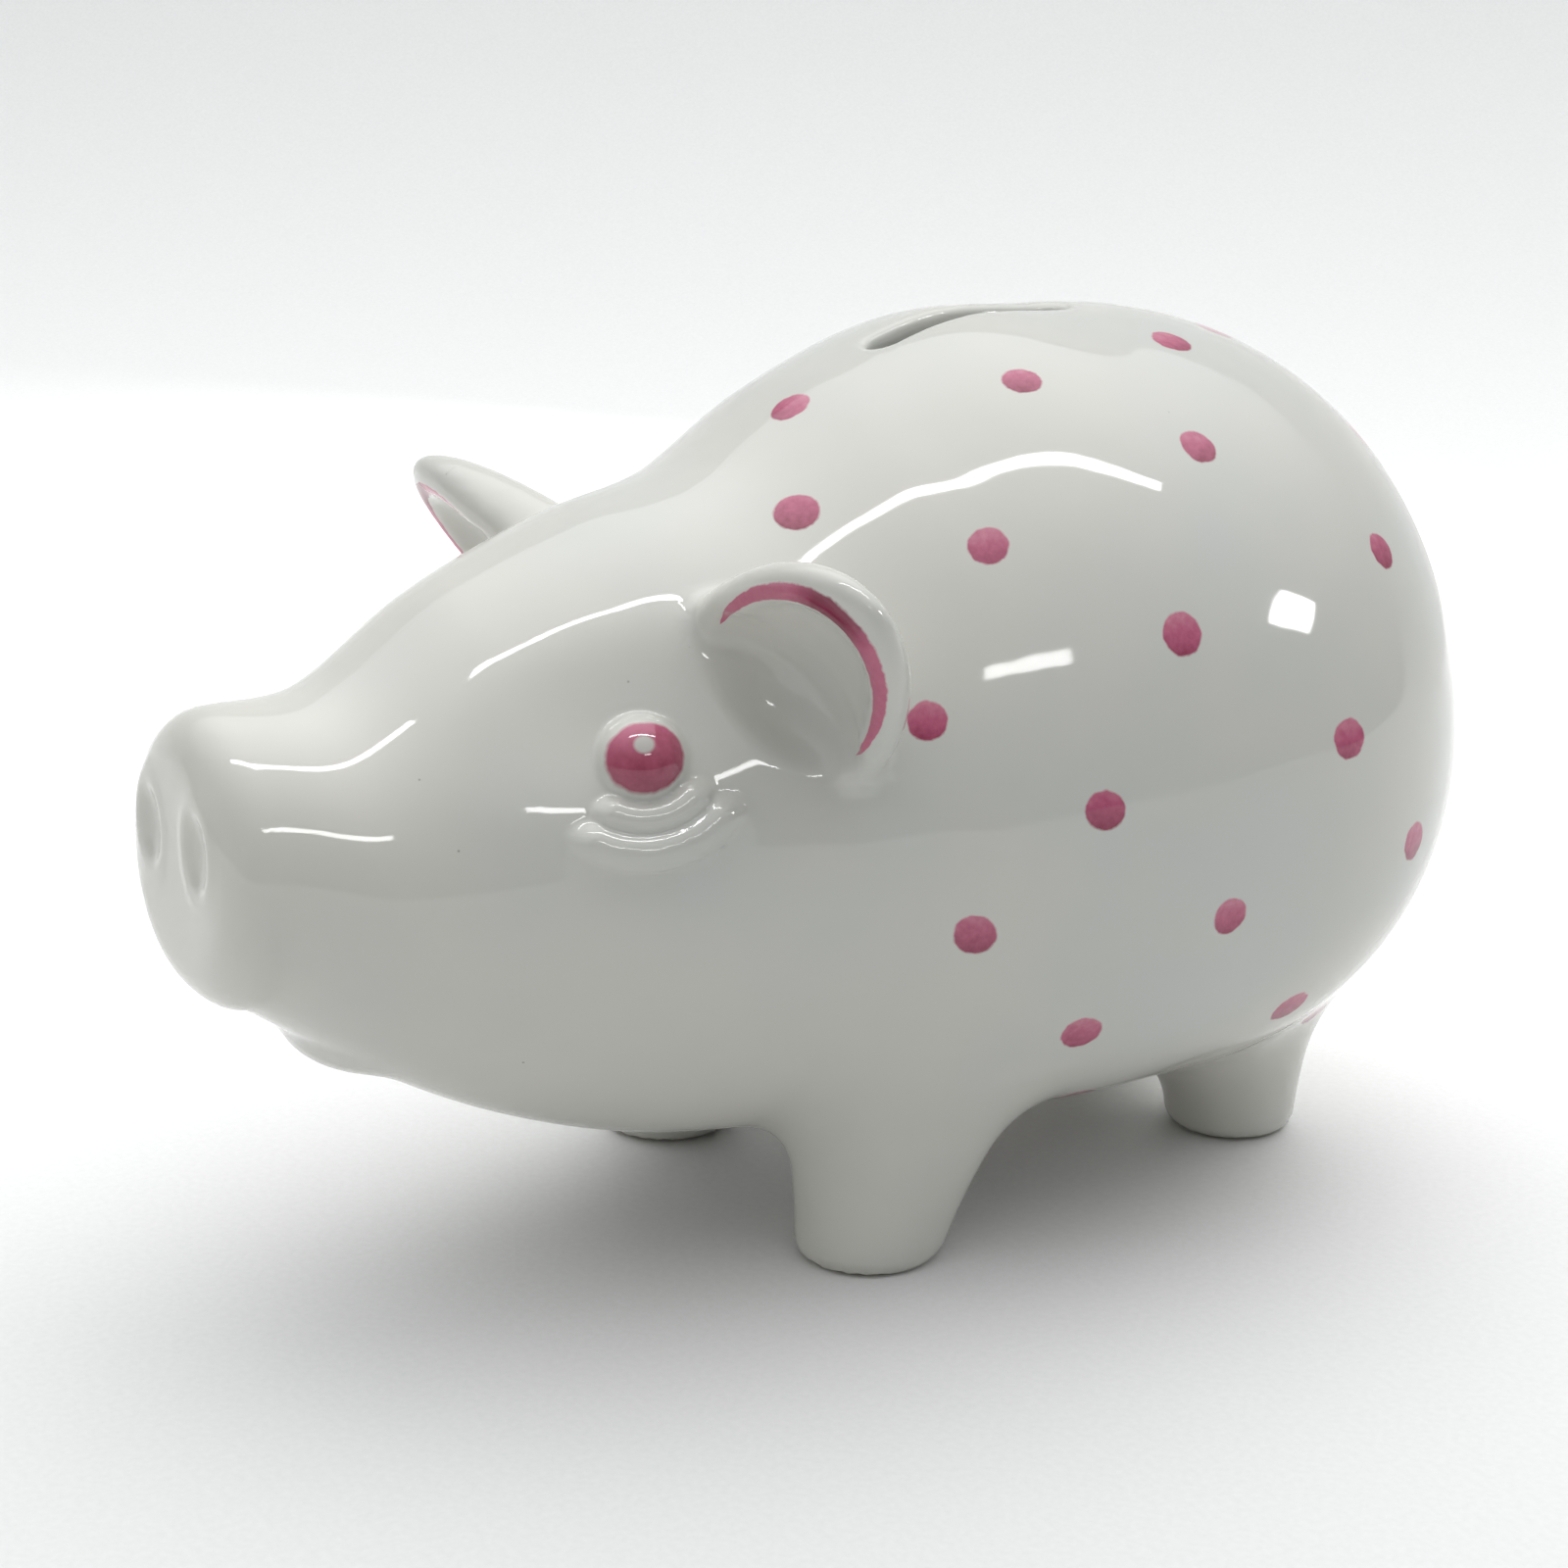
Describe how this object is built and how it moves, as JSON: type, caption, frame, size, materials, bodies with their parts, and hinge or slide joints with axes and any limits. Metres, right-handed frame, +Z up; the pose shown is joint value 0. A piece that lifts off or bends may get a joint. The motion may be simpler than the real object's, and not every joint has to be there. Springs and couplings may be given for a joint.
{
  "type": "figural animal coin bank",
  "caption": "Glazed porcelain pig money box with painted dots, a coin slot in the back and a round key-locked metal trap in the belly.",
  "frame": {"origin": "on the table, under the middle of the body", "axes": "+Z up; the snout faces -Y; +X is the pig's left side"},
  "size_m": [0.1272, 0.2, 0.1283],
  "materials": {
    "porcelain": "gloss",
    "nickel_plate": "satin",
    "zinc_steel": "satin",
    "lock_brass": "satin",
    "rubber": "matte"
  },
  "bodies": {
    "bank": {"body_shell": "porcelain", "ear_left": "porcelain", "ear_right": "porcelain", "tail": "porcelain", "leg_front_left": "porcelain", "leg_front_right": "porcelain", "leg_hind_left": "porcelain", "leg_hind_right": "porcelain"},
    "trap": {"trap_plate": "nickel_plate", "trap_gasket": "rubber", "lock_case": "zinc_steel", "case_rivets": "nickel_plate"},
    "rotor": {"lock_rotor": "lock_brass", "rotor_washer": "zinc_steel"},
    "bolt_front": {"lock_bolt_front": "zinc_steel"},
    "bolt_rear": {"lock_bolt_rear": "zinc_steel"}
  },
  "joints": [
    {"name": "trap_drop", "type": "slide", "parent": "bank", "child": "trap", "axis": [0, 0, -1], "range_m": [0, 0.02]},
    {"name": "lock_turn", "type": "hinge", "parent": "trap", "child": "rotor", "pos_m": [0, 0.025, 0.02], "axis": [0, 0, 1], "range_deg": [0, 90]},
    {"name": "front_bolt_throw", "type": "slide", "parent": "trap", "child": "bolt_front", "axis": [0, -1, 0], "range_m": [0, 0.0045]},
    {"name": "rear_bolt_throw", "type": "slide", "parent": "trap", "child": "bolt_rear", "axis": [0, 1, 0], "range_m": [0, 0.0045]}
  ],
  "couplings": [
    {"joint": "front_bolt_throw", "follows": "lock_turn", "m_per_rad": 0.0028645},
    {"joint": "rear_bolt_throw", "follows": "lock_turn", "m_per_rad": 0.0028645}
  ]
}
